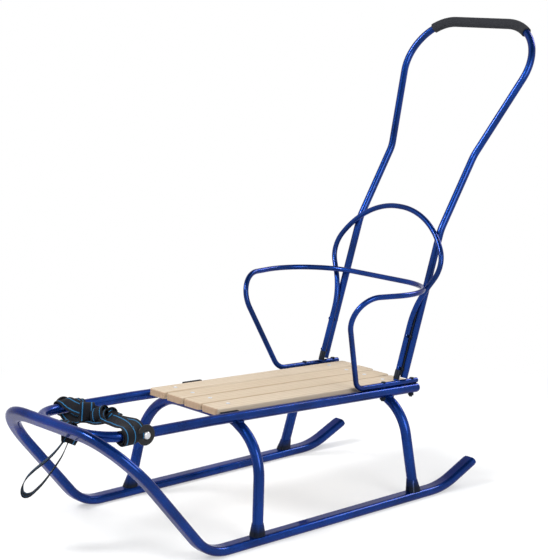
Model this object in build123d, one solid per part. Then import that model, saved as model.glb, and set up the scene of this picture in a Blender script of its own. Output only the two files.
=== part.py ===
from build123d import *
import os
from math import acos, cos, degrees, radians, sin, tan

# Push sled for a small child: a bent flat-oval runner loop, two leg arches,
# a tubular seat frame with four wooden slats, an armrest hoop, a backrest arch
# and a tall push handle with a foam grip.
# All sizes are in millimetres. X is lateral with the mirror plane at X = 0,
# the nose points to -Y and +Z is up. Stations along Y are counted from the
# front feet while modelling, and the whole sled is centred at the end.

# Runner loop of flat-oval tube
runner_width = 30.0
runner_thickness = 16.0
half_track = 178.0
nose_rise_start = -72.0
nose_rise_radius = 84.0
nose_slope = 50.0
nose_arm_length = 136.0
nose_corner_radius = 106.0
tail_rise_start = 427.5
tail_rise_radius = 150.0
tail_slope = 24.0
tail_length = 53.5

# Leg arches of round tube, one at the front feet and one at the rear feet
leg_diameter = 19.0
arch_knee_x = 84.0
arch_knee_radius = 80.0
front_foot_station = 0.0
front_arch_top_station = 22.0
front_shoulder_x = 157.5
front_shoulder_radius = 105.0
rear_foot_station = 384.0
rear_arch_top_station = 391.5
rear_shoulder_x = 141.0
rear_shoulder_radius = 90.0
foot_height = 20.0
foot_length = 26.0
foot_width = 23.0
foot_corner_radius = 8.0
foot_collar = 0.8

# Seat frame of round tube, open at the rear
rail_diameter = 18.0
half_rail_spacing = 107.0
rail_height_at_kink = 209.0
rail_kink_station = -45.0
rail_kink_radius = 300.0
rail_slope = 2.65
rail_rear_station = 460.0
frame_corner_radius = 66.0
frame_front_drop = 20.0
frame_front_clearance = 0.3

# Seat slats of sawn pine
slat_count = 4
slat_gap = 4.5
slat_thickness = 12.0
slat_to_rail = 3.25
slat_front_station = -20.0
slat_rear_stations = (463.0, 460.0, 452.0, 448.0)
slat_edge_radius = 2.5
slat_corner_radius = 7.0
slat_lift = 15.0

# Armrest hoop and backrest arch of round bar
bar_diameter = 10.0
weld_gap = 0.3
hoop_rear_station = 461.0
hoop_low_station = 302.0
hoop_low_radius = 26.0
hoop_front_x = 152.0
hoop_front_station = 229.5
hoop_front_height = 390.0
hoop_front_radius = 49.0
hoop_back_x = 200.0
hoop_back_station = 463.8
hoop_back_height = 383.0
hoop_back_radius = 108.0

back_foot_station = 411.0
back_lean = 18.5
back_foot_inset = 5.5
back_neck_x = 101.3
back_neck_up = 143.0
back_neck_radius = 150.0
back_bulge_x = 148.8
back_bulge_up = 226.5
back_bulge_radius = 54.0
back_crown_x = 84.4
back_crown_up = 323.7
back_crown_radius = 152.0
back_weld_depth = 2.0

# Push handle of round tube with a foam grip
handle_diameter = 14.0
handle_gap = 1.5
handle_foot_lift = 3.0
handle_bend_1_height = 481.0
handle_bend_2_station = 603.0
handle_bend_2_height = 615.7
handle_bend_2_spread = 1.0
handle_bend_radius = 70.0
handle_top_x = 186.0
handle_top_station = 738.0
handle_top_height = 860.0
handle_top_radius = 90.0
grip_diameter = 20.0
grip_corner_turn = 35.0

# Small hardware
cap_length = 4.0
cap_inset = 0.8
bolt_diameter = 6.0
bolt_head_diameter = 9.0
bolt_head_height = 2.0
bolt_nut_diameter = 11.0
bolt_nut_height = 5.0
bolt_overhang = 7.5
bolt_seat_depth = 0.5
strap_disc_diameter = 35.0
strap_disc_thickness = 3.0
strap_disc_station = -190.0
strap_bolt_head_diameter = 13.0
strap_bolt_head_height = 4.5
hoop_bolt_station_1 = 372.0
hoop_bolt_station_2 = 448.0
handle_bolt_height_1 = 22.0
handle_bolt_height_2 = 84.0
handle_bolt_inset = 1.0

# Pull strap of flat webbing: wound on both rails, tied across, with a hand loop
webbing_width = 25.0
webbing_thickness = 2.2
wrap_thickness = 5.0
wrap_length = 28.0
wrap_station_left = -223.0
wrap_station_right = -157.0
band_thickness = 7.0
band_middle_x = 24.0
band_middle_rise = 6.0
band_bend_radius = 120.0
front_knot_x = 10.0
front_knot_length = 22.0
loop_turn = 42.0
loop_points = (
    # across and up, from the root of the loop, in the loop's own upright plane
    (-2.5, 0.0),
    (-17.0, -22.0),
    (-36.0, -42.0),
    (-55.0, -57.0),
    (-71.0, -72.0),
    (-80.0, -89.0),
    (-79.0, -104.0),
    (-68.0, -105.0),
    (-57.0, -96.0),
    (-42.0, -80.0),
    (-29.0, -61.0),
    (-17.0, -44.0),
    (-7.0, -25.0),
    (2.5, 0.0),
)
loop_arc_share = 0.45


def rotate_about(vector, direction, angle):
    return vector.rotate(Axis((0, 0, 0), direction), angle)


def bend(section, plane, toward, radius, angle):
    """One bend of a tube: the swept solid and the section plane at its far end."""
    center = plane.origin + toward * radius
    hinge = plane.z_dir.cross(toward)
    piece = revolve(plane * section, axis=Axis(center, hinge), revolution_arc=angle)
    origin = center + rotate_about(plane.origin - center, hinge, angle)
    x_dir = rotate_about(plane.x_dir, hinge, angle)
    z_dir = rotate_about(plane.z_dir, hinge, angle)
    return piece, Plane(origin=origin, x_dir=x_dir, z_dir=z_dir)


def run(section, plane, length):
    """One straight run of a tube and the section plane at its far end."""
    piece = extrude(plane * section, amount=length, dir=plane.z_dir)
    return piece, Plane(origin=plane.origin + plane.z_dir * length, x_dir=plane.x_dir, z_dir=plane.z_dir)


def bent_tube(section, points, radii, side=None):
    """A tube along straight runs through the points, with an arc at each inner point."""
    points = [Vector(*p) for p in points]
    first = (points[1] - points[0]).normalized()
    if side is None:
        side = Vector(1, 0, 0) if abs(first.X) < 0.9 else Vector(0, 0, 1)
    side = (side - first * side.dot(first)).normalized()
    plane = Plane(origin=points[0], x_dir=side, z_dir=first)
    pieces = []
    for corner, after, radius in zip(points[1:-1], points[2:], radii):
        heading = plane.z_dir
        leaving = (after - corner).normalized()
        turn = degrees(acos(max(-1.0, min(1.0, heading.dot(leaving)))))
        toward = (leaving - heading * leaving.dot(heading)).normalized()
        straight = (corner - plane.origin).length - radius * tan(radians(turn / 2))
        piece, plane = run(section, plane, straight)
        pieces.append(piece)
        piece, plane = bend(section, plane, toward, radius, turn)
        pieces.append(piece)
    piece, plane = run(section, plane, (points[-1] - plane.origin).length)
    pieces.append(piece)
    return fused(pieces)


def fused(pieces):
    whole = pieces[0]
    for piece in pieces[1:]:
        whole = whole + piece
    return whole


def mirrored(point):
    return (-point[0], point[1], point[2])


def both_sides(half):
    return half + mirror(half, about=Plane.YZ)


# Runner loop
runner_center = runner_thickness / 2
slope = radians(nose_slope)
nose_station = nose_rise_start - nose_rise_radius * sin(slope) - (nose_arm_length + nose_corner_radius) * cos(slope)
nose_height = (
    runner_center + nose_rise_radius * (1 - cos(slope)) + (nose_arm_length + nose_corner_radius) * sin(slope)
)
down_slope = Vector(0, cos(slope), -sin(slope))
above_slope = Vector(0, sin(slope), cos(slope))


def make_runner_loop():
    section = SlotOverall(runner_width, runner_thickness)
    plane = Plane(origin=(0, nose_station, nose_height), x_dir=down_slope, z_dir=(1, 0, 0))
    pieces = []
    piece, plane = run(section, plane, half_track - nose_corner_radius)
    pieces.append(piece)
    piece, plane = bend(section, plane, down_slope, nose_corner_radius, 90)
    pieces.append(piece)
    piece, plane = run(section, plane, nose_arm_length)
    pieces.append(piece)
    piece, plane = bend(section, plane, above_slope, nose_rise_radius, nose_slope)
    pieces.append(piece)
    piece, plane = run(section, plane, tail_rise_start - nose_rise_start)
    pieces.append(piece)
    piece, plane = bend(section, plane, Vector(0, 0, 1), tail_rise_radius, tail_slope)
    pieces.append(piece)
    piece, plane = run(section, plane, tail_length)
    pieces.append(piece)
    cap, _ = run(offset(section, amount=-cap_inset), plane, cap_length)
    return both_sides(fused(pieces)), cap


def rail_height(station):
    """Height of the rails' centre line behind the kink."""
    return rail_height_at_kink - (station - rail_kink_station) * tan(radians(rail_slope))


rail_radius = rail_diameter / 2
bar_radius = bar_diameter / 2
core = (runner_width - runner_thickness) / 2
touching = runner_thickness / 2 + rail_radius + frame_front_clearance
frame_front_across = (touching ** 2 - (frame_front_drop - core) ** 2) ** 0.5
frame_front = (
    Vector(0, nose_station, nose_height) + down_slope * frame_front_drop + above_slope * frame_front_across
)


def make_seat_frame():
    rear = (half_rail_spacing, rail_rear_station, rail_height(rail_rear_station))
    kink = (half_rail_spacing, rail_kink_station, rail_height_at_kink)
    corner = (half_rail_spacing, frame_front.Y, frame_front.Z)
    points = [rear, kink, corner, mirrored(corner), mirrored(kink), mirrored(rear)]
    radii = [rail_kink_radius, frame_corner_radius, frame_corner_radius, rail_kink_radius]
    return bent_tube(Circle(rail_radius), points, radii)


def front_rail_point(station, x):
    """A point on a rail's centre line between the kink and the front corner."""
    share = (rail_kink_station - station) / (rail_kink_station - frame_front.Y)
    return Vector(x, station, rail_height_at_kink + share * (frame_front.Z - rail_height_at_kink))


def slat_top(station):
    """Height of the slats' upper faces, parallel to the rails."""
    return rail_height(station) + slat_lift


leg_radius = leg_diameter / 2


def arch_points(foot_station, top_station, shoulder_x):
    """Half of a leg arch: foot, shoulder, and the knee from which the flat top starts."""
    top = slat_top(top_station) - (slat_thickness + leg_radius) / cos(radians(rail_slope))
    under_rail = rail_height(top_station) - rail_radius - leg_radius
    fall = (top - under_rail) / (half_rail_spacing - arch_knee_x)
    foot = (half_track, foot_station, runner_thickness)
    shoulder = (shoulder_x, top_station, top - fall * (shoulder_x - arch_knee_x))
    return [foot, shoulder, (arch_knee_x, top_station, top)]


def make_arch(foot_station, top_station, shoulder_x, shoulder_radius):
    """A leg arch: legs that lean in, shoulders, a pass under each rail and a flat top under the slats."""
    half = arch_points(foot_station, top_station, shoulder_x)
    points = half + [mirrored(p) for p in half[::-1]]
    radii = [shoulder_radius, arch_knee_radius]
    return bent_tube(Circle(leg_radius), points, radii + radii[::-1])


def make_foot(foot_station, top_station, shoulder_x):
    """A flared foot between the runner's top and the leg, along the leg's lean."""
    foot, shoulder, _ = arch_points(foot_station, top_station, shoulder_x)
    lean = Vector(*shoulder) - Vector(*foot)
    top_center = Vector(*foot) + lean * (foot_height / lean.Z)
    base = Plane(origin=foot) * RectangleRounded(foot_width, foot_length, foot_corner_radius)
    top = Plane(origin=top_center) * Circle(leg_radius + foot_collar)
    return loft([base, top])


seat_width = 2 * (half_rail_spacing - rail_radius - slat_to_rail)
slat_width = (seat_width - (slat_count - 1) * slat_gap) / slat_count


def make_slat(index):
    x = (index - (slat_count - 1) / 2) * (slat_width + slat_gap)
    length = (slat_rear_stations[index] - slat_front_station) / cos(radians(rail_slope))
    slat = Box(slat_width, length, slat_thickness, align=(Align.CENTER, Align.MIN, Align.MAX))
    slat = fillet(slat.edges().filter_by(Axis.Z), slat_corner_radius)
    slat = fillet(slat.faces().sort_by(Axis.Z)[-1].edges(), slat_edge_radius)
    place = Pos(x, slat_front_station, slat_top(slat_front_station)) * Rot(-rail_slope, 0, 0)
    return place * slat


def make_hoop():
    bar_lift = rail_radius + bar_radius + weld_gap
    rear = (half_rail_spacing, hoop_rear_station, rail_height(hoop_rear_station) + bar_lift)
    low = (half_rail_spacing, hoop_low_station, rail_height(hoop_low_station) + bar_lift)
    front = (hoop_front_x, hoop_front_station, hoop_front_height)
    back = (hoop_back_x, hoop_back_station, hoop_back_height)
    points = [rear, low, front, back, mirrored(back), mirrored(front), mirrored(low), mirrored(rear)]
    radii = [hoop_low_radius, hoop_front_radius, hoop_back_radius]
    return bent_tube(Circle(bar_radius), points, radii + radii[::-1])


def back_point(x, up):
    """A point of the backrest's plane, counted up the slope from its feet."""
    lean = radians(back_lean)
    foot = rail_height(back_foot_station) + rail_radius + bar_diameter + weld_gap
    return (x, back_foot_station + up * sin(lean), foot + up * cos(lean))


def make_backrest():
    half = [
        back_point(half_rail_spacing - back_foot_inset, -back_weld_depth),
        back_point(back_neck_x, back_neck_up),
        back_point(back_bulge_x, back_bulge_up),
        back_point(back_crown_x, back_crown_up),
    ]
    points = half + [mirrored(p) for p in half[::-1]]
    radii = [back_neck_radius, back_bulge_radius, back_crown_radius]
    return bent_tube(Circle(bar_radius), points, radii + radii[::-1])


def handle_half():
    lean = radians(back_lean)
    behind = (bar_radius + handle_diameter / 2 + handle_gap) / cos(lean)
    foot_station = back_foot_station + behind + (handle_foot_lift - weld_gap) * tan(lean)
    foot_height_z = rail_height(foot_station) + rail_radius + bar_diameter + handle_foot_lift
    rise = handle_bend_1_height - foot_height_z
    return [
        (half_rail_spacing, foot_station, foot_height_z),
        (half_rail_spacing, foot_station + rise * tan(lean), handle_bend_1_height),
        (half_rail_spacing + handle_bend_2_spread, handle_bend_2_station, handle_bend_2_height),
        (handle_top_x, handle_top_station, handle_top_height),
    ]


def make_handle():
    half = handle_half()
    points = half + [mirrored(p) for p in half[::-1]]
    radii = [handle_bend_radius, handle_bend_radius, handle_top_radius]
    return bent_tube(Circle(handle_diameter / 2), points, radii + radii[::-1])


def make_grip():
    """Foam sleeve along the top bar and round part of both corners."""
    half = handle_half()
    top = Vector(*half[3])
    leg = (Vector(*half[2]) - top).normalized()
    turn = 180 - degrees(acos(leg.dot(Vector(-1, 0, 0))))
    tangent = handle_top_radius * tan(radians(turn / 2))
    toward = (leg - Vector(1, 0, 0) * leg.X).normalized()
    section = Circle(grip_diameter / 2) - Circle(handle_diameter / 2)
    plane = Plane(origin=(0, top.Y, top.Z), x_dir=(0, 0, 1), z_dir=(1, 0, 0))
    middle, plane = run(section, plane, top.X - tangent)
    corner, plane = bend(section, plane, toward, handle_top_radius, grip_corner_turn)
    return both_sides(middle + corner)


def make_head(plane, diameter, height):
    """A domed bolt head that stands on a plane."""
    head = extrude(plane * Circle(diameter / 2), amount=height)
    rim = head.edges().filter_by(GeomType.CIRCLE).sort_by(Axis(plane.origin, plane.z_dir))[-1:]
    return fillet(rim, height * 0.6)


def make_bolt(head_seat, direction, length, head_diameter, head_height):
    """A domed bolt whose head sits in a shallow flat, with a nut at the far end of its length."""
    direction = Vector(*direction)
    plane = Plane(origin=head_seat - direction * bolt_seat_depth, z_dir=direction)
    length = length - 2 * bolt_seat_depth
    head = make_head(plane, head_diameter, head_height)
    shank = extrude(plane * Circle(bolt_diameter / 2), amount=-(length + bolt_overhang))
    nut_plane = Plane(origin=plane.origin - plane.z_dir * length, x_dir=plane.x_dir, z_dir=-plane.z_dir)
    nut = extrude(nut_plane * RegularPolygon(bolt_nut_diameter / 2, 6), amount=bolt_nut_height)
    return head + shank + nut


def make_hoop_bolt(station):
    """Through the hoop's foot bar and the rail below it."""
    top = rail_height(station) + rail_radius + bar_diameter + weld_gap
    direction = Vector(0, sin(radians(rail_slope)), cos(radians(rail_slope)))
    seat = Vector(half_rail_spacing, station, top)
    through = rail_diameter + bar_diameter + weld_gap
    return make_bolt(seat, direction, through, bolt_head_diameter, bolt_head_height)


def make_handle_bolt(up):
    """A sleeve bolt through the backrest's leg, a spacer and the handle, with a low head at each end."""
    lean = radians(back_lean)
    backward = Vector(0, cos(lean), -sin(lean))
    x, station, height = back_point(half_rail_spacing - handle_bolt_inset, up)
    seat = Vector(x, station, height) - backward * (bar_radius - bolt_seat_depth)
    through = bar_diameter + handle_gap + handle_diameter - 2 * bolt_seat_depth
    front_head = make_head(Plane(origin=seat, z_dir=-backward), bolt_head_diameter, bolt_head_height)
    rear_plane = Plane(origin=seat + backward * through, z_dir=backward)
    rear_head = make_head(rear_plane, bolt_head_diameter, bolt_head_height)
    shank = extrude(Plane(origin=seat, z_dir=backward) * Circle(bolt_diameter / 2), amount=through)
    spacer_plane = Plane(origin=seat + backward * (bar_diameter - 2 * bolt_seat_depth), z_dir=backward)
    spacer = extrude(spacer_plane * Circle(bolt_head_diameter / 2), amount=handle_gap + 2 * bolt_seat_depth)
    return fused([shank, front_head, rear_head, spacer])


def make_rail_cap():
    """A push-in cap on a rail's open rear end."""
    angle = radians(rail_slope)
    heading = Vector(0, cos(angle), -sin(angle))
    end = Vector(half_rail_spacing, rail_rear_station, rail_height(rail_rear_station))
    cap = extrude(Plane(origin=end, z_dir=heading) * Circle(rail_radius - cap_inset), amount=cap_length)
    rim = cap.edges().filter_by(GeomType.CIRCLE).sort_by(Axis(end, heading))[-1:]
    return fillet(rim, cap_length / 2)


def make_strap_disc():
    center = front_rail_point(strap_disc_station, half_rail_spacing + rail_radius)
    plane = Plane(origin=center, z_dir=(1, 0, 0))
    disc = extrude(plane * Circle(strap_disc_diameter / 2), amount=strap_disc_thickness)
    return fillet(disc.edges().filter_by(GeomType.CIRCLE), strap_disc_thickness * 0.4)


def make_strap_bolt():
    seat = front_rail_point(strap_disc_station, half_rail_spacing + rail_radius + strap_disc_thickness)
    through = rail_diameter + strap_disc_thickness
    return make_bolt(seat, Vector(1, 0, 0), through, strap_bolt_head_diameter, strap_bolt_head_height)


def make_wrap(station, side):
    """Webbing wound round a rail."""
    center = front_rail_point(station, side * half_rail_spacing)
    ahead = (front_rail_point(station - 1, side * half_rail_spacing) - center).normalized()
    plane = Plane(origin=center - ahead * wrap_length / 2, z_dir=ahead)
    return extrude(plane * Circle(rail_radius + wrap_thickness), amount=wrap_length)


def make_strap_band():
    """Webbing tied across from one wrap to the other, over the tops of the rails."""
    lift = rail_radius + wrap_thickness + band_thickness / 2
    reach = half_rail_spacing
    left = front_rail_point(wrap_station_left, reach) + Vector(0, 0, lift)
    right = front_rail_point(wrap_station_right, -reach) + Vector(0, 0, lift)
    share = (reach - band_middle_x) / (2 * reach)
    middle = left + (right - left) * share + Vector(0, 0, band_middle_rise)
    return bent_tube(Rectangle(band_thickness, webbing_width), [left, middle, right], [band_bend_radius])


def make_front_knot():
    """Webbing wound on the frame's front bar, where the hand loop hangs from."""
    start = frame_front + Vector(front_knot_x - front_knot_length / 2, 0, 0)
    plane = Plane(origin=start, x_dir=(0, 1, 0), z_dir=(1, 0, 0))
    return extrude(plane * Circle(rail_radius + wrap_thickness), amount=front_knot_length)


def loop_root():
    drop = rail_radius + wrap_thickness - webbing_thickness
    return frame_front + Vector(front_knot_x, wrap_thickness, -drop)


def easy_radii(points):
    """The widest arc that each corner of a route has room for, a little short of half of its shorter run."""
    radii = []
    for before, corner, after in zip(points, points[1:], points[2:]):
        coming, leaving = corner - before, after - corner
        turn = acos(coming.normalized().dot(leaving.normalized()))
        radii.append(loop_arc_share * min(coming.length, leaving.length) / tan(turn / 2))
    return radii


def make_hand_loop():
    """A stiff hand loop of webbing that sticks out below the frame's front bar."""
    across = Vector(1, 0, 0).rotate(Axis.Z, 90 - loop_turn)
    facing = across.cross(Vector(0, 0, 1))
    root = loop_root()
    points = [root + across * a + Vector(0, 0, u) for a, u in loop_points]
    return bent_tube(Rectangle(webbing_width, webbing_thickness), points, easy_radii(points), side=facing)


solids = {}
solids["runner_loop"], tail_cap = make_runner_loop()
solids["tail_cap_left"] = tail_cap
solids["tail_cap_right"] = mirror(tail_cap, about=Plane.YZ)
solids["seat_frame"] = make_seat_frame()
front = (front_foot_station, front_arch_top_station, front_shoulder_x, front_shoulder_radius)
rear = (rear_foot_station, rear_arch_top_station, rear_shoulder_x, rear_shoulder_radius)
for place, sizes in (("front", front), ("rear", rear)):
    arch = make_arch(*sizes) - solids["seat_frame"] - solids["runner_loop"]
    foot = make_foot(*sizes[:3]) - arch
    solids[place + "_leg_arch"] = arch
    solids[place + "_foot_left"] = foot
    solids[place + "_foot_right"] = mirror(foot, about=Plane.YZ)
for index in range(slat_count):
    solids["slat_" + str(index + 1)] = make_slat(index)
solids["rail_cap_left"] = make_rail_cap()
solids["rail_cap_right"] = mirror(solids["rail_cap_left"], about=Plane.YZ)
solids["armrest_hoop"] = make_hoop()
solids["backrest_arch"] = make_backrest() - solids["armrest_hoop"]
solids["push_handle"] = make_handle()
solids["handle_grip"] = make_grip()
for index, station in enumerate((hoop_bolt_station_1, hoop_bolt_station_2)):
    bolt = make_hoop_bolt(station)
    solids["hoop_bolt_left_" + str(index + 1)] = bolt
    solids["hoop_bolt_right_" + str(index + 1)] = mirror(bolt, about=Plane.YZ)
for index, up in enumerate((handle_bolt_height_1, handle_bolt_height_2)):
    bolt = make_handle_bolt(up)
    solids["handle_bolt_left_" + str(index + 1)] = bolt
    solids["handle_bolt_right_" + str(index + 1)] = mirror(bolt, about=Plane.YZ)
solids["strap_disc_left"] = make_strap_disc()
solids["strap_disc_right"] = mirror(solids["strap_disc_left"], about=Plane.YZ)
solids["strap_bolt_left"] = make_strap_bolt()
solids["strap_bolt_right"] = mirror(solids["strap_bolt_left"], about=Plane.YZ)
bolted = ("seat_frame", "armrest_hoop", "backrest_arch", "push_handle", "strap_disc_left", "strap_disc_right")
for node in list(solids):
    if "_bolt_" in node:
        for holder in bolted:
            solids[holder] = solids[holder] - solids[node]
solids["strap_wrap_left"] = make_wrap(wrap_station_left, 1) - solids["seat_frame"]
solids["strap_wrap_right"] = make_wrap(wrap_station_right, -1) - solids["seat_frame"]
solids["strap_band"] = make_strap_band() - solids["strap_wrap_left"] - solids["strap_wrap_right"]
solids["strap_knot"] = make_front_knot() - solids["seat_frame"] - solids["runner_loop"]
solids["hand_loop"] = make_hand_loop() - solids["strap_knot"]

rigid = [solid for node, solid in solids.items() if node != "hand_loop"]
front_edge = min(solid.bounding_box().min.Y for solid in rigid)
rear_edge = max(solid.bounding_box().max.Y for solid in rigid)
centering = Pos(0, -(front_edge + rear_edge) / 2, 0)
print("stations run from", round(front_edge, 3), "to", round(rear_edge, 3))

os.makedirs("parts", exist_ok=True)
for node, solid in solids.items():
    export_step(centering * solid, os.path.join("parts", node + ".step"))
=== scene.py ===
from math import atan2, cos, radians, sin, tan

import bpy
from mathutils import Matrix, Vector


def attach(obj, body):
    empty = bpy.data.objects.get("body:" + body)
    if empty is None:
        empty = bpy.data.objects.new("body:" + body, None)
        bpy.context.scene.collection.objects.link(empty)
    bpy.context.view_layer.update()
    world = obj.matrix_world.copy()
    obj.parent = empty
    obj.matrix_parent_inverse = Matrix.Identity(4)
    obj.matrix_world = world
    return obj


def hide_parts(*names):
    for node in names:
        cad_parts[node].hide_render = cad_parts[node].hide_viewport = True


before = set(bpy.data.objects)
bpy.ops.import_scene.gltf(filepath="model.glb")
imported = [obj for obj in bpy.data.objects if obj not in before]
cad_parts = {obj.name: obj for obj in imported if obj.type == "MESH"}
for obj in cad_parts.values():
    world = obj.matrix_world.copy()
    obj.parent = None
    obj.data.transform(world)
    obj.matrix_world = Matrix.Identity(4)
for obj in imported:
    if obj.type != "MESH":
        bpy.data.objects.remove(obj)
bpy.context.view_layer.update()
bpy.ops.object.select_all(action="DESELECT")

# Sizes of the sled, in millimetres and degrees, as in its drawing. Stations count along Y from the front feet.
mid_station = 221.799
sides = {"left": 1, "right": -1}

rail_radius = 9.0
half_rail_spacing = 107.0
rail_kink_station = -45.0
rail_height_at_kink = 209.0
rail_slope = 2.65
frame_front_station = -270.303
frame_front_height = 215.405
leg_stations = {"front": 22.0, "rear": 391.5}
nose_bead_x = 26.0

slat_count = 4
slat_pitch = 48.5
slat_lift = 15.0  # from the rails' centre line up to the slats' top
screw_stations = (23.0, 405.0)
screw_lift = 0.2  # from the slats' top to the middle of a screw's head

bar_radius = 5.0
weld_gap = 0.3
back_lean = 18.5
back_foot_station = 411.0
back_foot_x = 101.5
back_to_handle = 13.5  # from the backrest legs' centre line back to the handle's
back_to_handle_outward = 5.5
sleeve_length = 17.0
sleeve_wall = 0.7
handle_bolt_heights = (22.0, 84.0)
# the dark strips of painted shade in the crevices between the backrest's legs and the handle
shade_strip_size = (6.4, 3.2, 124.0)
shade_strip_place = (103.9, 72.0, 5.9)  # x, height up the lean, distance behind the legs' centre line

webbing_width = 25.0
webbing_thickness = 1.6
turn_step = 9.0  # the angle between two cross sections of a wound turn
tilt_from = 60.0  # the angle at which a tilted turn leans furthest along its axis

# The camera's place and turn, its focal length in pixels, and the picture's width
camera_place = (2173.088, -1772.135, 953.913)
camera_azimuth = 47.88409
camera_elevation = 10.56703
camera_roll = 0.63823
focal_pixels = 1650.0
picture_width = 548.0
sensor_width = 36.0


def place(x, station, height):
    """A point of the drawing in the scene, in metres."""
    return Vector((x, station - mid_station, height)) / 1000


def rail_height(station):
    """The height of the rails' centre line behind their kink."""
    return rail_height_at_kink - (station - rail_kink_station) * tan(radians(rail_slope))


# Shader building blocks

def new_material(name):
    material = bpy.data.materials.new(name)
    material.use_nodes = True
    return material, material.node_tree, material.node_tree.nodes["Principled BSDF"]


def node(tree, kind, **settings):
    made = tree.nodes.new(kind)
    for key, value in settings.items():
        setattr(made, key, value)
    return made


def feed(tree, target, source):
    """Links a socket to an input, or sets the input to a constant."""
    if isinstance(source, bpy.types.NodeSocket):
        tree.links.new(source, target)
    else:
        target.default_value = source


def feed_all(tree, made, sources):
    """Feeds the inputs of a node, given by their names."""
    for name, source in sources.items():
        feed(tree, made.inputs[name], source)
    return made


def new_group(name, inputs, outputs):
    """A shader group with named sockets, its input node and its output node."""
    tree = bpy.data.node_groups.new(name, "ShaderNodeTree")
    for title, kind, value in inputs:
        socket = tree.interface.new_socket(name=title, in_out="INPUT", socket_type=kind)
        socket.default_value = value
    for title, kind in outputs:
        tree.interface.new_socket(name=title, in_out="OUTPUT", socket_type=kind)
    return tree, node(tree, "NodeGroupInput"), node(tree, "NodeGroupOutput")


def use_group(tree, group, sources):
    return feed_all(tree, node(tree, "ShaderNodeGroup", node_tree=group), sources)


def color(r, g, b):
    return (r, g, b, 1.0)


def grey(value):
    return color(value, value, value)


def shaded(base, factor):
    """A colour made darker or lighter, and at most white."""
    return color(*[min(1.0, channel * factor) for channel in base])


def compute(tree, operation, *sources, clamp=False):
    """The result of a calculation with sockets and numbers."""
    made = node(tree, "ShaderNodeMath", operation=operation, use_clamp=clamp)
    for target, source in zip(made.inputs, sources):
        feed(tree, target, source)
    return made.outputs[0]


def component(tree, vector, axis):
    made = node(tree, "ShaderNodeSeparateXYZ")
    feed(tree, made.inputs[0], vector)
    return made.outputs[axis]


def map_range(tree, value, start, end, low=0.0, high=1.0, **settings):
    """Carries a value over from one range to another."""
    made = node(tree, "ShaderNodeMapRange", **settings)
    feed_all(tree, made, {"Value": value, "From Min": start, "From Max": end, "To Min": low, "To Max": high})
    return made.outputs["Result"]


def ramp(tree, factor, *stops, interpolation="LINEAR"):
    """A colour that runs through (position, colour) pairs."""
    made = node(tree, "ShaderNodeValToRGB")
    made.color_ramp.interpolation = interpolation
    elements = made.color_ramp.elements
    while len(elements) < len(stops):
        elements.new(0.5)
    for element, (position, value) in zip(elements, stops):
        element.position = position
        element.color = value
    feed(tree, made.inputs["Fac"], factor)
    return made.outputs["Color"]


def mix_colors(tree, mode, factor, first, second):
    made = node(tree, "ShaderNodeMix", data_type="RGBA", blend_type=mode)
    feed_all(tree, made, {"Factor": factor, "A": first, "B": second})
    return made.outputs["Result"]


def mix_shaders(tree, factor, first, second):
    made = node(tree, "ShaderNodeMixShader")
    for target, source in zip(made.inputs, (factor, first.outputs[0], second.outputs[0])):
        feed(tree, target, source)
    return made.outputs[0]


def texture(tree, kind, vector, sources, **settings):
    """The value of a texture that is laid out by a vector."""
    made = node(tree, kind, **settings)
    feed_all(tree, made, {"Vector": vector, **sources})
    return made.outputs["Fac"]


def bump(tree, shader, height, distance, strength):
    made = node(tree, "ShaderNodeBump")
    feed_all(tree, made, {"Distance": distance, "Strength": strength, "Height": height})
    feed(tree, shader.inputs["Normal"], made.outputs["Normal"])


def make_unevenness():
    """Slow waviness and fine speckle of a finish, as two masks and a height."""
    tree, given, made = new_group(
        "unevenness",
        [("Slow scale", "NodeSocketFloat", 30.0), ("Fine scale", "NodeSocketFloat", 900.0)],
        [("Slow", "NodeSocketFloat"), ("Fine", "NodeSocketFloat"), ("Height", "NodeSocketFloat")],
    )
    where = node(tree, "ShaderNodeTexCoord").outputs["Object"]
    slow = texture(tree, "ShaderNodeTexNoise", where, {"Detail": 3, "Scale": given.outputs["Slow scale"]})
    fine = texture(tree, "ShaderNodeTexNoise", where, {"Detail": 2, "Scale": given.outputs["Fine scale"]})
    height = compute(tree, "MULTIPLY_ADD", fine, 0.35, slow)
    feed_all(tree, made, {"Slow": slow, "Fine": fine, "Height": height})
    return tree


unevenness = make_unevenness()


# Materials

def make_blue_paint(name, scorch_and_shade_heights=None):
    """Deep blue metallic enamel under a thin clear coat.

    Two heights, in metres, make it near black below the first, with only a tinge left at the second. This
    darkening towards the bottom is partly a dark weld mark at the foot and partly painted shade.
    """
    material, tree, shader = new_material(name)
    finish = use_group(tree, unevenness, {"Slow scale": 14.0, "Fine scale": 1400.0})
    slow = finish.outputs["Slow"]
    tint = ramp(tree, slow, (0.30, color(0.0015, 0.012, 0.085)), (0.70, color(0.003, 0.029, 0.195)))
    flake = ramp(tree, finish.outputs["Fine"], (0.50, grey(0)), (0.78, color(0.008, 0.050, 0.14)))
    painted = mix_colors(tree, "ADD", 1.0, tint, flake)
    if scorch_and_shade_heights:
        # painted shade with a dark weld mark: the foot turns near black towards the bottom
        height = component(tree, node(tree, "ShaderNodeTexCoord").outputs["Object"], "Z")
        wandering = compute(tree, "MULTIPLY_ADD", slow, 0.008, height)
        share = map_range(tree, wandering, *scorch_and_shade_heights, 1.0, 0.25)
        painted = mix_colors(tree, "MIX", share, painted, color(0.003, 0.006, 0.016))
    feed_all(tree, shader, {
        "Base Color": painted,
        "Roughness": ramp(tree, slow, (0.3, grey(0.22)), (0.8, grey(0.32))),
        "Metallic": 0.68,
        "Specular IOR Level": 0.1,
        "Specular Tint": color(0.10, 0.14, 0.45),
        "Coat Weight": 0.48,
        "Coat IOR": 1.3,
        "Coat Roughness": 0.05,
    })
    bump(tree, shader, finish.outputs["Height"], 0.00025, 0.35)
    return material


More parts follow.
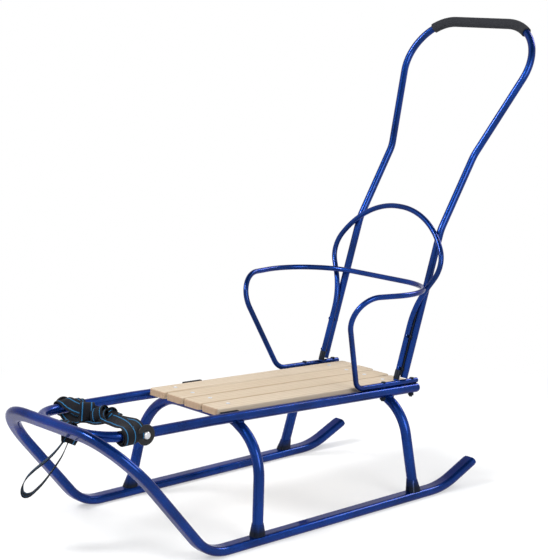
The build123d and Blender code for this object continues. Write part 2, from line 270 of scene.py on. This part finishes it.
def make_black_finish(name, base, roughness, gloss, slow_scale, fine_scale, depth):
    """Dull black fittings, washers and foam, each with its own grain."""
    material, tree, shader = new_material(name)
    finish = use_group(tree, unevenness, {"Slow scale": slow_scale, "Fine scale": fine_scale})
    rough = (0.3, grey(roughness - 0.08)), (0.7, grey(roughness + 0.08))
    feed_all(tree, shader, {
        "Base Color": ramp(tree, finish.outputs["Fine"], (0.3, shaded(base, 0.7)), (0.7, shaded(base, 1.5))),
        "Roughness": ramp(tree, finish.outputs["Slow"], *rough),
        "Specular IOR Level": gloss,
    })
    bump(tree, shader, finish.outputs["Height"], depth, 0.6)
    return material


def make_steel(name, base, metallic, slow_scale, fine_scale):
    """Zinc plated steel, with clouds in its colour and fine scratches in its gloss."""
    material, tree, shader = new_material(name)
    finish = use_group(tree, unevenness, {"Slow scale": slow_scale, "Fine scale": fine_scale})
    feed_all(tree, shader, {
        "Base Color": ramp(tree, finish.outputs["Slow"], (0.3, shaded(base, 0.8)), (0.7, shaded(base, 1.15))),
        "Roughness": ramp(tree, finish.outputs["Fine"], (0.3, grey(0.26)), (0.7, grey(0.42))),
        "Metallic": metallic,
    })
    bump(tree, shader, finish.outputs["Height"], 0.00008, 0.5)
    return material


def make_grain():
    """Sawn pine: long fibres, wavy year rings and plain tan ends, as a colour, a height and a roughness."""
    tree, given, made = new_group(
        "pine_grain",
        [("Board", "NodeSocketFloat", 0.0)],
        [("Color", "NodeSocketColor"), ("Height", "NodeSocketFloat"), ("Rough", "NodeSocketFloat")],
    )
    coordinates = node(tree, "ShaderNodeTexCoord")
    # each board is cut from another place in the wood
    shift = node(tree, "ShaderNodeCombineXYZ")
    for axis, step in (("X", 0.31), ("Y", 0.77), ("Z", 0.23)):
        feed(tree, shift.inputs[axis], compute(tree, "MULTIPLY", given.outputs["Board"], step))
    placed = node(tree, "ShaderNodeVectorMath", operation="ADD")
    feed(tree, placed.inputs[0], coordinates.outputs["Object"])
    feed(tree, placed.inputs[1], shift.outputs[0])

    # rings and fibres are drawn out along the board
    drawn_out = []
    for scale in ((1.0, 0.06, 1.3), (1.0, 0.03, 1.0)):
        mapping = node(tree, "ShaderNodeMapping")
        feed_all(tree, mapping, {"Vector": placed.outputs[0], "Scale": scale})
        drawn_out.append(mapping.outputs[0])
    along_rings, along_fibres = drawn_out
    rings = texture(
        tree, "ShaderNodeTexWave", along_rings,
        {"Scale": 34.0, "Distortion": 5.0, "Detail": 3.0, "Detail Scale": 0.8},
        wave_type="BANDS", bands_direction="X", wave_profile="SAW",
    )
    fibres = texture(tree, "ShaderNodeTexNoise", along_fibres, {"Scale": 600.0, "Detail": 4})
    clouds = texture(tree, "ShaderNodeTexNoise", along_rings, {"Scale": 9.0, "Detail": 2})

    ring_color = ramp(
        tree,
        rings,
        (0.0, color(0.61, 0.52, 0.405)),
        (0.60, color(0.585, 0.485, 0.37)),
        (0.90, color(0.49, 0.375, 0.26)),
        (1.0, color(0.58, 0.48, 0.36)),
    )
    fibre_color = ramp(tree, fibres, (0.35, color(0.90, 0.87, 0.83)), (0.6, grey(1)))
    cloud_color = ramp(tree, clouds, (0.3, color(0.94, 0.91, 0.86)), (0.7, grey(1)))
    fibred = mix_colors(tree, "MULTIPLY", 0.6, ring_color, fibre_color)
    toned = mix_colors(tree, "MULTIPLY", 1.0, fibred, cloud_color)

    endwise = compute(tree, "ABSOLUTE", component(tree, coordinates.outputs["Normal"], "Y"))
    end_share = map_range(tree, endwise, 0.35, 0.8, high=0.85)
    feed_all(tree, made, {
        "Color": mix_colors(tree, "MIX", end_share, toned, color(0.33, 0.215, 0.135)),
        "Height": compute(tree, "MULTIPLY_ADD", rings, 0.2, fibres),
        "Rough": map_range(tree, fibres, 0.0, 1.0, 0.62, 0.80),
    })
    return tree


pine_grain = make_grain()


def make_pine(board):
    material, tree, shader = new_material(f"pine_board_{board}")
    grain = use_group(tree, pine_grain, {"Board": float(board)})
    feed_all(tree, shader, {"Base Color": grain.outputs["Color"], "Roughness": grain.outputs["Rough"]})
    bump(tree, shader, grain.outputs["Height"], 0.0003, 0.6)
    return material


def make_webbing_material():
    """Black woven webbing with two turquoise stripes. Its U runs across, its V along in webbing widths."""
    material, tree, shader = new_material("striped_webbing")
    black = color(0.007, 0.008, 0.012)
    turquoise = color(0.02, 0.15, 0.33)
    uv = node(tree, "ShaderNodeUVMap", uv_map="weave").outputs["UV"]
    from_middle = compute(tree, "ABSOLUTE", compute(tree, "SUBTRACT", component(tree, uv, "X"), 0.5))
    bands = ((0.0, black), (0.265, turquoise), (0.335, black))
    stripes = ramp(tree, from_middle, *bands, interpolation="CONSTANT")

    weft = texture(
        tree, "ShaderNodeTexWave", uv, {"Scale": 4.2, "Distortion": 0.4}, wave_type="BANDS", bands_direction="Y"
    )
    warp = texture(tree, "ShaderNodeTexWave", uv, {"Scale": 6.0}, wave_type="BANDS", bands_direction="X")
    weave = compute(tree, "MULTIPLY", weft, warp)
    threads = ramp(tree, weave, (0.0, grey(0.55)), (0.8, grey(1.5)))
    feed_all(tree, shader, {
        "Base Color": mix_colors(tree, "MULTIPLY", 1.0, stripes, threads),
        "Roughness": 0.75,
        "Specular IOR Level": 0.12,
        "Sheen Weight": 0.04,
        "Sheen Roughness": 0.5,
    })
    bump(tree, shader, weave, 0.0003, 0.8)
    return material


blue_paint = make_blue_paint("blue_metallic_paint")
# the legs' feet: near black towards the bottom, partly a weld mark and partly painted shade
foot_paint = make_blue_paint("foot_paint", scorch_and_shade_heights=(0.026, 0.042))
black_fitting = make_black_finish("black_plastic", (0.005, 0.008, 0.015), 0.45, 0.12, 120.0, 900.0, 0.0002)
black_washer = make_black_finish("black_washer", (0.010, 0.010, 0.011), 0.38, 0.22, 60.0, 1300.0, 0.0001)
foam = make_black_finish("grey_foam", (0.022, 0.023, 0.027), 0.85, 0.15, 90.0, 1100.0, 0.0006)
steel = make_steel("zinc_plated_steel", (0.66, 0.66, 0.68), 1.0, 160.0, 1500.0)
screw_steel = make_steel("dull_zinc_screw", (0.64, 0.67, 0.72), 0.5, 300.0, 1800.0)
webbing_cloth = make_webbing_material()


def finish_frame():
    """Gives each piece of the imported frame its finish."""
    for name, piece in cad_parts.items():
        if name.startswith("slat_"):
            material = make_pine(int(name[len("slat_"):]))
        elif name == "handle_grip":
            material = foam
        elif name.startswith("strap_bolt_"):
            material = steel
        elif name.startswith("hoop_bolt_"):
            material = black_fitting
        elif "_foot_" in name:
            material = foot_paint
        elif "_disc_" in name:
            material = black_washer
        elif name.startswith("strap_") or name == "hand_loop":
            material = webbing_cloth
        else:
            material = blue_paint
        for slot in piece.material_slots:
            slot.material = material


finish_frame()


# Pieces

def lift(piece):
    """Makes a finished piece part of the sled's one body."""
    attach(piece, "root")


def bevel(piece, width, segments, **settings):
    """Rounds a piece's edges by a width in millimetres."""
    edge = piece.modifiers.new("edge", "BEVEL")
    edge.width = width / 1000
    edge.segments = segments
    for key, value in settings.items():
        setattr(edge, key, value)
    bpy.ops.object.modifier_apply(modifier="edge")


def edit_faces(piece, wanted):
    """Opens a piece for editing with only the faces selected whose normal passes the test."""
    bpy.ops.object.mode_set(mode="EDIT")
    bpy.ops.mesh.select_mode(type="FACE")
    bpy.ops.mesh.select_all(action="DESELECT")
    bpy.ops.object.mode_set(mode="OBJECT")
    for face in piece.data.polygons:
        face.select = wanted(face.normal)
    bpy.ops.object.mode_set(mode="EDIT")


def faces_up(normal):
    return normal.z > 0.9


def faces_up_or_down(normal):
    return abs(normal.z) > 0.9


def inset(rings):
    """Insets the selected faces by (thickness, depth) pairs in millimetres, and closes the editing."""
    for thickness, depth in rings:
        bpy.ops.mesh.inset(thickness=thickness / 1000, depth=depth / 1000)
    bpy.ops.object.mode_set(mode="OBJECT")


def copy_mesh(model, matrix):
    """A copy of a model with its own mesh, moved in the mesh, so that its object stays at the origin."""
    piece = model.copy()
    piece.data = model.data.copy()
    bpy.context.collection.objects.link(piece)
    piece.data.transform(matrix)
    return piece


def copy_to(model, name, matrix):
    """A named copy of a model as a piece of the sled."""
    piece = copy_mesh(model, matrix)
    piece.name = name
    lift(piece)


def along(direction):
    """A turn that takes the Z axis to a direction."""
    return Vector(direction).to_track_quat("Z", "Y").to_matrix().to_4x4()


with_rails = Matrix.Rotation(radians(-rail_slope), 4, "X")


# Webbing

def webbing(name, path, across):
    """A flat strip of webbing along a path, with its width laid along the given directions."""
    half = webbing_width / 2000
    columns = (-1.0, -0.6, -0.2, 0.2, 0.6, 1.0)
    width = len(columns)
    points = []
    uvs = []
    travelled = 0.0
    for index, (center, wide) in enumerate(zip(path, across)):
        if index:
            travelled += (center - path[index - 1]).length
        for column in columns:
            points.append(center + wide * (column * half))
            uvs.append(((column + 1) / 2, travelled / (2 * half)))
    faces = []
    for row in range(len(path) - 1):
        for step in range(width - 1):
            corner = row * width + step
            faces.append((corner, corner + 1, corner + width + 1, corner + width))
    mesh = bpy.data.meshes.new(name)
    mesh.from_pydata(points, [], faces)
    layer = mesh.uv_layers.new(name="weave")
    for loop in mesh.loops:
        layer.data[loop.index].uv = uvs[loop.vertex_index]
    piece = bpy.data.objects.new(name, mesh)
    bpy.context.collection.objects.link(piece)
    piece.data.materials.append(webbing_cloth)
    bpy.ops.object.select_all(action="DESELECT")
    piece.select_set(True)
    bpy.context.view_layer.objects.active = piece
    bpy.ops.object.shade_smooth()
    wall = piece.modifiers.new("wall", "SOLIDIFY")
    wall.thickness = webbing_thickness / 1000
    wall.offset = 0.0
    bpy.ops.object.modifier_apply(modifier="wall")
    bevel(piece, 0.5, 2, limit_method="ANGLE", angle_limit=radians(50))
    return piece


def square_to_path(wide, path, index):
    """A direction of width, turned so that it is square to the path at one of its points."""
    ahead = (path[min(index + 1, len(path) - 1)] - path[max(index - 1, 0)]).normalized()
    return (wide - ahead * wide.dot(ahead)).normalized()


def wound(name, center, axis, radius, first, last, drift, tilt, flat):
    """Webbing wound round an axis from one angle to another, which drifts along it and may be tilted."""
    axis = axis.normalized()
    side = axis.cross(Vector((0, 0, 1))).normalized()
    up = side.cross(axis).normalized()
    steps = max(8, int(abs(last - first) / turn_step))
    path = []
    for step in range(steps + 1):
        share = step / steps
        angle = radians(first + (last - first) * share)
        outward = side * cos(angle) + up * sin(angle)
        reach = radius + flat * cos(2 * angle)
        slide = drift * (share - 0.5) + tilt * cos(angle - radians(tilt_from))
        path.append(center + outward * (reach / 1000) + axis * (slide / 1000))
    across = [square_to_path(axis, path, index) for index in range(len(path))]
    return webbing(name, path, across)


def laid(name, points, wides):
    """Webbing laid on a smooth line through a few points. Its width turns from one direction to the next."""
    curve = bpy.data.curves.new(name + "_line", "CURVE")
    curve.dimensions = "3D"
    curve.resolution_u = 10
    spline = curve.splines.new("NURBS")
    spline.points.add(len(points) - 1)
    for control, point in zip(spline.points, points):
        control.co = (*point, 1.0)
    spline.order_u = 3
    spline.use_endpoint_u = True
    line = bpy.data.objects.new(name + "_line", curve)
    bpy.context.collection.objects.link(line)
    sampled = bpy.data.meshes.new_from_object(line)
    path = [vertex.co.copy() for vertex in sampled.vertices]
    bpy.data.objects.remove(line)
    across = []
    for index in range(len(path)):
        where = index / (len(path) - 1) * (len(wides) - 1)
        low = min(int(where), len(wides) - 2)
        wide = wides[low].lerp(wides[low + 1], where - low)
        across.append(square_to_path(wide, path, index))
    return webbing(name, path, across), path


# The hand loop's place at its knot, the turn of its upright plane, and its route in that plane from the knot
# and back, as distances sideways and up
loop_root = (10.0, frame_front_station + 5.0, frame_front_height - 11.8)
loop_turn = 48.0
loop_route = (
    (-2.5, 0.0),
    (-17.0, -22.0),
    (-36.0, -42.0),
    (-55.0, -57.0),
    (-71.0, -72.0),
    (-80.0, -89.0),
    (-79.0, -104.0),
    (-68.0, -105.0),
    (-57.0, -96.0),
    (-42.0, -80.0),
    (-29.0, -61.0),
    (-17.0, -44.0),
    (-7.0, -25.0),
    (2.5, 0.0),
)


def make_hand_loop():
    """The stiff hand loop below the frame's front bar, a free strap that goes back into its knot."""
    root = place(*loop_root)
    sideways = Vector((cos(radians(loop_turn)), sin(radians(loop_turn)), 0.0))
    points = [root + sideways * (out / 1000) + Vector((0, 0, up / 1000)) for out, up in loop_route]
    facing = sideways.cross(Vector((0, 0, 1)))
    loop, path = laid("hand_loop_webbing", points, [facing, facing])
    lift(loop)
    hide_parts("hand_loop")


# The strap's laid runs. Each row has x, station and height, then the direction of the width.
strap_runs = {
    # up the outer side of the far rail, over it, and inward into the ring
    "far_run": (
        (-114, -195, 204, 0, 1, 0),
        (-121, -195, 213, 0, 1, 0),
        (-118, -195, 225, 0, 1, 0.05),
        (-104, -195, 228, 0, 1, 0.35),
        (-85, -195, 223, 0.1, 0.7, 0.7),
        (-62, -194, 221.5, 0.1, 0.35, 0.95),
        (-40, -191, 220, 0.1, 0.3, 1),
        (-18, -187, 220, 0.1, 0.5, 0.9),
    ),
    # from the knot over the near rail, down its outer side, under it and up inside
    "near_run": (
        (-6, -185, 221, 0.1, 0.7, 0.7),
        (10, -187, 219, 0, 0.8, 0.6),
        (28, -191, 221, 0, 0.8, 0.6),
        (45, -196, 223, 0, 0.8, 0.6),
        (66, -204, 226, 0, 0.85, 0.5),
        (88, -212, 228.5, 0, 0.95, 0.3),
        (107, -219, 229, 0, 1, 0),
        (120, -222, 224, 0, 1, 0),
        (123, -223, 213, 0, 1, 0),
        (118, -223, 202, 0, 1, 0),
        (106, -223, 200, 0, 1, 0),
        (94, -223, 207, 0, 1, 0),
    ),
    # a second layer under it, over the rail beside the washer
    "inner_run": (
        (5, -180, 217, 0, 0.9, 0.4),
        (40, -184, 219, 0, 0.9, 0.5),
        (75, -192, 225, 0, 0.9, 0.5),
        (98, -200, 230, 0, 1, 0.2),
        (113, -203, 228, 0, 1, 0),
        (120, -204, 216, 0, 1, 0),
        (117, -204, 204, 0, 1, 0),
        (106, -204, 201, 0, 1, 0),
        (95, -204, 208, 0, 1, 0),
    ),
    # the slack below, between the far rail, the ring and the knot
    "slack_run": (
        (-99, -196, 206, 0, 1, 0.2),
        (-88, -198, 201, 0, 1, 0.5),
        (-70, -194, 199, 0.2, 0.9, 0.6),
        (-48, -191, 204, 0, 1, 0.2),
        (-28, -190, 206, 0, 1, 0.1),
        (-8, -190, 209, 0, 1, 0.3),
        (8, -186, 217, 0, 0.8, 0.6),
    ),
}

# The strap's wound turns. Each row has the place and direction of the axis, then the radius, the first and
# last angle, the drift along the axis, the tilt, and how much wider than high the turn is.
strap_turns = {
    "near_wrap": ((107, -223, 214.1), (0, -1, 0.03), 10.4, 80, 470, 3, 0, 0),
    "washer_wrap": ((107, -200, 213.4), (0, -1, 0.03), 10.6, 60, 420, 2, 0, 0),
    "far_wrap": ((-107, -168, 212.5), (0, -1, 0.03), 10.4, 60, 460, 3, 0, 0),
    "far_wrap_outer": ((-107, -172, 212.5), (0, -1, 0.03), 12.6, 90, 440, -4, 2.5, 0),
    "ring_inner": ((-44, -190.5, 218.5), (0.62, 0.78, -0.03), 12.6, -120, 260, 3, 0, -1.0),
    "ring": ((-45, -191.5, 218.5), (0.62, 0.78, -0.03), 15.0, -100, 275, -2, 1.0, -1.0),
    "knot_cross": ((-16, -184, 219), (0.88, 0.30, 0.42), 11.5, -120, 265, 5, 2.0, -0.5),
    "knot_turn": ((3, -181, 222), (0.80, -0.20, 0.35), 10.0, 60, 430, -6, 3.0, 0.8),
    "knot_end": ((14, -178, 222), (0.75, 0.45, -0.30), 8.0, 20, 380, 6, 3.0, 0.5),
    "front_knot": ((10, -270.3, 215.4), (1, 0, 0), 10.4, 60, 460, 3, 0, 0),
    "front_knot_outer": ((9, -270.3, 215.4), (1, 0, 0), 12.7, 100, 450, -4, 2.5, 0),
    "loop_collar": ((10, -265.3, 200.5), (0.67, 0.74, 0.1), 7.0, 80, 450, 5, 2.0, -0.8),
    "loop_collar_outer": ((12, -264, 199.5), (0.62, 0.70, -0.35), 8.8, 120, 480, -5, 2.0, -0.8),
}

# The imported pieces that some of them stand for
strap_stands_for = {
    "near_wrap": "strap_wrap_left",
    "far_wrap": "strap_wrap_right",
    "near_run": "strap_band",
    "front_knot": "strap_knot",
}


def make_strap():
    """The pull strap: wound on both rails and tied across, with its slack bundled in a ring and a knot."""
    pieces = {}
    for name, row in strap_runs.items():
        points = [place(*spot[:3]) for spot in row]
        wides = [Vector(spot[3:]).normalized() for spot in row]
        pieces[name], _ = laid("strap_" + name, points, wides)
    for name, (spot, axis, *turn) in strap_turns.items():
        pieces[name] = wound("strap_" + name, place(*spot), Vector(axis), *turn)
    for name, piece in pieces.items():
        lift(piece)
        if name in strap_stands_for:
            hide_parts(strap_stands_for[name])


# Fasteners and trim

def make_turned(radius, height, segments, rings, material, faces=faces_up, smooth=None):
    """A short turned piece round the origin, with rings inset into its ends. Its sizes are in millimetres."""
    bpy.ops.mesh.primitive_cylinder_add(vertices=segments, radius=radius / 1000, depth=height / 1000)
    piece = bpy.context.active_object
    edit_faces(piece, faces)
    inset(rings)
    if smooth:
        bpy.ops.object.shade_smooth_by_angle(angle=radians(smooth))
    piece.data.materials.append(material)
    return piece


def make_block(name, width, length, height):
    """A plain block round the origin, from its sizes in millimetres."""
    bpy.ops.mesh.primitive_cube_add(size=1.0)
    piece = bpy.context.active_object
    piece.name = name
    piece.data.transform(Matrix.Diagonal((width / 1000, length / 1000, height / 1000, 1.0)))
    return piece


def set_screws():
    """Countersunk screws in each board, over each leg arch."""
    screw = make_turned(3.8, 1.0, 24, ((0.9, 0.3), (1.2, 0.0), (0.3, -0.8)), screw_steel)
    for board in range(slat_count):
        for row, station in enumerate(screw_stations):
            x = (board - (slat_count - 1) / 2) * slat_pitch
            spot = place(x, station, rail_height(station) + slat_lift + screw_lift)
            copy_to(screw, f"slat_screw_{board + 1}_{row + 1}", Matrix.Translation(spot) @ with_rails)
    bpy.data.objects.remove(screw)


def make_bead(radius, thickness):
    """A weld bead: a flattened ring with an uneven, rippled crown. Its sizes are in millimetres."""
    bpy.ops.mesh.primitive_torus_add(
        major_radius=radius / 1000, minor_radius=thickness / 1000, major_segments=72, minor_segments=10
    )
    piece = bpy.context.active_object
    for vertex in piece.data.vertices:
        turn = atan2(vertex.co.y, vertex.co.x)
        ripple = 1.0 + 0.16 * sin(18 * turn) + 0.08 * sin(7 * turn + 1.0)
        center = Vector((cos(turn), sin(turn), 0.0)) * (radius / 1000)
        vertex.co = center + (vertex.co - center) * ripple
    bpy.ops.object.shade_smooth()
    piece.data.materials.append(blue_paint)
    return piece


def set_beads():
    """Weld beads in the crevices where the legs pass under the rails and the frame meets the runner loop."""
    bead = make_bead(4.6, 1.9)
    toward_bow = Vector((0.0, -0.988, 0.152))
    for row, station in leg_stations.items():
        for end, side in sides.items():
            spot = place(side * half_rail_spacing, station, rail_height(station) - rail_radius - 0.2)
            copy_to(bead, f"leg_bead_{row}_{end}", Matrix.Translation(spot))
    for end, side in sides.items():
        spot = place(side * nose_bead_x, frame_front_station, frame_front_height)
        spot += toward_bow * (rail_radius / 1000)
        copy_to(bead, f"nose_bead_{end}", Matrix.Translation(spot) @ along(toward_bow))
    bpy.data.objects.remove(bead)


back_up = Vector((0, sin(radians(back_lean)), cos(radians(back_lean))))
back_behind = Vector((0, cos(radians(back_lean)), -sin(radians(back_lean))))


def by_back_leg(x, up, behind):
    """A place by its height up the backrest's lean and its distance behind the legs' centre line."""
    foot_height = rail_height(back_foot_station) + rail_radius + 2 * bar_radius + weld_gap
    return place(x, back_foot_station, foot_height) + back_up * (up / 1000) + back_behind * (behind / 1000)


def set_back_sleeves():
    """The black sleeves at the feet of the backrest's legs, with a rolled upper edge."""
    rolled_edge = ((0.4, 0.6), (0.4, -0.4))
    sleeve = make_turned(bar_radius + sleeve_wall, sleeve_length, 32, rolled_edge, black_fitting, smooth=40)
    for end, side in sides.items():
        spot = by_back_leg(side * back_foot_x, 1.0 + sleeve_length / 2, 0.0)
        copy_to(sleeve, f"back_sleeve_{end}", Matrix.Translation(spot) @ along(back_up))
    bpy.data.objects.remove(sleeve)


def set_handle_bolts():
    """Sleeve bolts through each backrest leg and the handle behind it, with a spacer between the two."""
    head = make_turned(2.9, 1.2, 24, ((0.7, 0.3), (0.7, 0.1), (0.2, -0.9)), blue_paint, smooth=35)
    # the spacer is black as painted shade in the gap between the leg and the handle
    spacer = make_turned(4.4, 7.2, 28, ((0.6, 0.4),), black_fitting, faces=faces_up_or_down, smooth=35)
    # each part of a bolt, its x, its distance behind the legs' centre line, and the way it faces
    rows = (
        (head, 102.6, -4.4, -back_behind),
        (head, 106.4, 20.2, back_behind),
        (spacer, 105.0, 5.9, back_behind),
    )
    for number, up in enumerate(handle_bolt_heights, start=1):
        for end, side in sides.items():
            parts = [
                copy_mesh(model, Matrix.Translation(by_back_leg(side * x, up, behind)) @ along(facing))
                for model, x, behind, facing in rows
            ]
            bpy.ops.object.select_all(action="DESELECT")
            for part in parts:
                part.select_set(True)
            bolt = parts[0]
            bpy.context.view_layer.objects.active = bolt
            bpy.ops.object.join()
            bolt.name = f"low_handle_bolt_{end}_{number}"
            lift(bolt)
            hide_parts(f"handle_bolt_{end}_{number}")
    bpy.data.objects.remove(head)
    bpy.data.objects.remove(spacer)


def set_painted_shade_strips():
    """Dark strips that paint the shade in the crevices between the backrest's legs and the handle."""
    x, up, behind = shade_strip_place
    for end, side in sides.items():
        piece = make_block(f"back_painted_shade_strip_{end}", *shade_strip_size)
        bevel(piece, 1.2, 3)
        across = (back_behind * back_to_handle + Vector((side * back_to_handle_outward, 0, 0))).normalized()
        wide = across.cross(back_up).normalized()
        turn = Matrix((wide, across, back_up)).transposed().to_4x4()
        piece.data.transform(Matrix.Translation(by_back_leg(side * x, up, behind)) @ turn)
        piece.data.materials.append(black_fitting)
        lift(piece)


# The dark clip on the far board's edge, and a dark strip of painted shade in the gap under the near board's
# edge: x, station, length, and the heights of their lower and upper ends above the rails' centre line
edge_clip_and_shade_width = 5.8
edge_clips_and_shade = {
    "edge_clip_far": (-96.6, 81.0, 42.0, 8.0, 15.9),
    # painted shade in the gap between the near board and its rail
    "edge_shade_strip_near": (99.4, 3.6, 38.0, 3.0, 9.0),
}


def set_edge_clip_and_shade_strip():
    for name, (x, station, length, low, high) in edge_clips_and_shade.items():
        piece = make_block(name, edge_clip_and_shade_width, length, high - low)
        edit_faces(piece, faces_up)
        inset(((1.2, 0.0), (0.3, -0.6)))
        bevel(piece, 0.6, 2)
        spot = place(x, station, rail_height(station) + (low + high) / 2)
        piece.data.transform(Matrix.Translation(spot) @ with_rails)
        piece.data.materials.append(black_fitting)
        lift(piece)


make_hand_loop()
make_strap()
set_screws()
set_beads()
set_back_sleeves()
set_handle_bolts()
set_painted_shade_strips()
set_edge_clip_and_shade_strip()


# Camera, light and studio

def make_camera():
    """The camera at the photograph's place, turned as it was."""
    azimuth, elevation, roll = radians(camera_azimuth), radians(camera_elevation), radians(camera_roll)
    back = Vector((sin(azimuth) * cos(elevation), -cos(azimuth) * cos(elevation), sin(elevation)))
    level = Vector((cos(azimuth), sin(azimuth), 0.0))
    upright = back.cross(level)
    right = level * cos(roll) + upright * sin(roll)
    up = upright * cos(roll) - level * sin(roll)
    camera_data = bpy.data.cameras.new("camera")
    camera_data.sensor_fit = "HORIZONTAL"
    camera_data.sensor_width = sensor_width
    camera_data.lens = focal_pixels / picture_width * sensor_width
    camera_data.clip_end = 50.0
    camera = bpy.data.objects.new("camera", camera_data)
    bpy.context.collection.objects.link(camera)
    turn = Matrix((right, up, back)).transposed().to_4x4()
    camera.matrix_world = Matrix.Translation(place(*camera_place)) @ turn
    bpy.context.scene.camera = camera


def seen_rays(tree):
    """One for the camera's rays and for those in reflections and clear plastic, nought for the rest."""
    rays = node(tree, "ShaderNodeLightPath").outputs
    seen = compute(tree, "ADD", rays["Is Camera Ray"], rays["Is Glossy Ray"], clamp=True)
    return compute(tree, "ADD", seen, rays["Is Transmission Ray"], clamp=True)


# The floor keeps the sled's shadow out to the first distance in metres, and is plain white from the second on.
# Within the first it already glows by the given share.
shadow_reach = 0.55
white_from = 1.15
glow_share = 0.45


def make_floor():
    """A white floor that shows the sled's soft shadow near it and fades to plain white further out."""
    bpy.ops.mesh.primitive_plane_add(size=60.0, location=(0, 0, 0))
    floor = bpy.context.active_object
    floor.name = "studio_floor"
    material, tree, shader = new_material("studio_floor")
    feed_all(tree, shader, {"Base Color": grey(0.93), "Roughness": 0.9, "Specular IOR Level": 0.0})
    distance = node(tree, "ShaderNodeVectorMath", operation="LENGTH")
    feed(tree, distance.inputs[0], node(tree, "ShaderNodeTexCoord").outputs["Object"])
    fade = map_range(
        tree, distance.outputs["Value"], shadow_reach, white_from, low=glow_share,
        interpolation_type="SMOOTHSTEP",
    )
    share = compute(tree, "MULTIPLY", seen_rays(tree), fade)
    white = feed_all(tree, node(tree, "ShaderNodeEmission"), {"Strength": 1.0})
    feed(tree, tree.nodes["Material Output"].inputs["Surface"], mix_shaders(tree, share, shader, white))
    floor.data.materials.append(material)


def make_world():
    """A white backdrop for the camera and in reflections, dim overhead, and a soft light for the rest."""
    world = bpy.data.worlds.new("studio")
    bpy.context.scene.world = world
    world.use_nodes = True
    tree = world.node_tree
    tree.nodes.clear()
    soft = node(tree, "ShaderNodeBackground")
    feed_all(tree, soft, {"Color": color(0.95, 0.97, 1.0), "Strength": 0.50})
    upward = component(tree, node(tree, "ShaderNodeTexCoord").outputs["Generated"], "Z")
    backdrop = node(tree, "ShaderNodeBackground")
    feed_all(tree, backdrop, {"Color": ramp(tree, upward, (0.62, grey(1)), (0.90, color(0.08, 0.08, 0.09)))})
    out = node(tree, "ShaderNodeOutputWorld")
    feed(tree, out.inputs["Surface"], mix_shaders(tree, seen_rays(tree), soft, backdrop))


# The lamps, all aimed at the middle of the sled: place and size in metres, and power in watts
lamps = {
    "key": ((-1.0, -2.6, 3.0), 1.2, 115.0),
    "fill": ((3.2, -0.4, 2.2), 2.0, 62.0),
    "rim": ((0.4, 3.0, 2.6), 1.4, 50.0),
}
lamp_aim = (0, 0, 0.3)


def make_lamps():
    for name, (spot, size, power) in lamps.items():
        data = bpy.data.lights.new(name, "AREA")
        data.shape = "DISK"
        data.size = size
        data.energy = power
        lamp = bpy.data.objects.new(name, data)
        bpy.context.collection.objects.link(lamp)
        aim = Vector(lamp_aim) - Vector(spot)
        turn = aim.to_track_quat("-Z", "Y").to_matrix().to_4x4()
        lamp.matrix_world = Matrix.Translation(Vector(spot)) @ turn


make_camera()
make_floor()
make_world()
make_lamps()
bpy.context.scene.view_settings.view_transform = "Standard"
